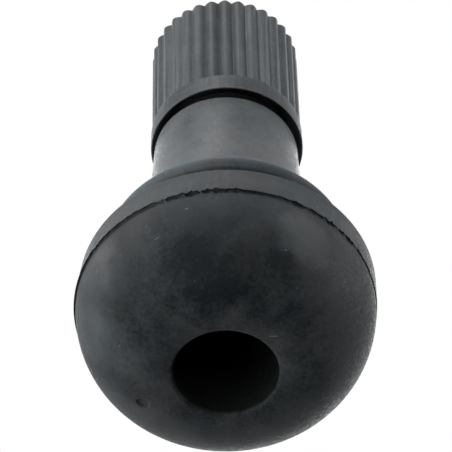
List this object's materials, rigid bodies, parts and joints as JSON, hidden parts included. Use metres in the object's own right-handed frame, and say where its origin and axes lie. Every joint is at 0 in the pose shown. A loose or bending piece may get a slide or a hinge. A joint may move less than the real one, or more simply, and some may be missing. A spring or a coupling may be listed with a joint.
{
  "type": "tyre valve",
  "caption": "Snap-in rubber tyre valve with a round domed base, a rim groove, a tapered neck, a brass stem with a spring-loaded valve core, and a fluted plastic screw cap.",
  "frame": {"origin": "on the valve's axis, in the plane of the flat ring round the base hole that it stands on", "axes": "+Z along the valve's axis from the base to the cap; the valve is turned about Z, and -Y is the side that the picture shows"},
  "size_m": [0.019, 0.019, 0.034],
  "materials": {
    "black_rubber": "moulded, satin, slightly dusty",
    "cap_plastic": "moulded, satin",
    "stem_brass": "turned and threaded",
    "core_brass": "turned",
    "spring_steel": "drawn wire",
    "red_seal": "moulded",
    "gasket_rubber": "moulded"
  },
  "bodies": {
    "valve_body": {"rubber_body": "black_rubber", "stem_insert": "stem_brass", "core_plug": "core_brass", "core_barrel": "core_brass", "barrel_gasket": "red_seal", "core_spring": "spring_steel"},
    "cap_gasket": {"cap_gasket": "gasket_rubber"},
    "cap": {"cap": "cap_plastic"},
    "pin": {"core_pin": "core_brass", "poppet_cup": "core_brass", "poppet_gasket": "gasket_rubber"}
  },
  "joints": [
    {"name": "cap_travel", "type": "slide", "parent": "valve_body", "child": "cap_gasket", "axis": [0, 0, 1], "range_m": [0, 0.00952]},
    {"name": "cap_turn", "type": "hinge", "parent": "cap_gasket", "child": "cap", "pos_m": [0, 0, 0.0232], "axis": [0, 0, 1], "range_deg": [0, 4320]},
    {"name": "pin_press", "type": "slide", "parent": "valve_body", "child": "pin", "axis": [0, 0, -1], "range_m": [0, 0.0015], "stiffness_N_per_m": 900, "springref_m": -0.003, "deforming": ["core_spring"]}
  ],
  "couplings": [
    {"joint": "cap_turn", "follows": "cap_travel", "rad_per_m": 7915.8}
  ]
}
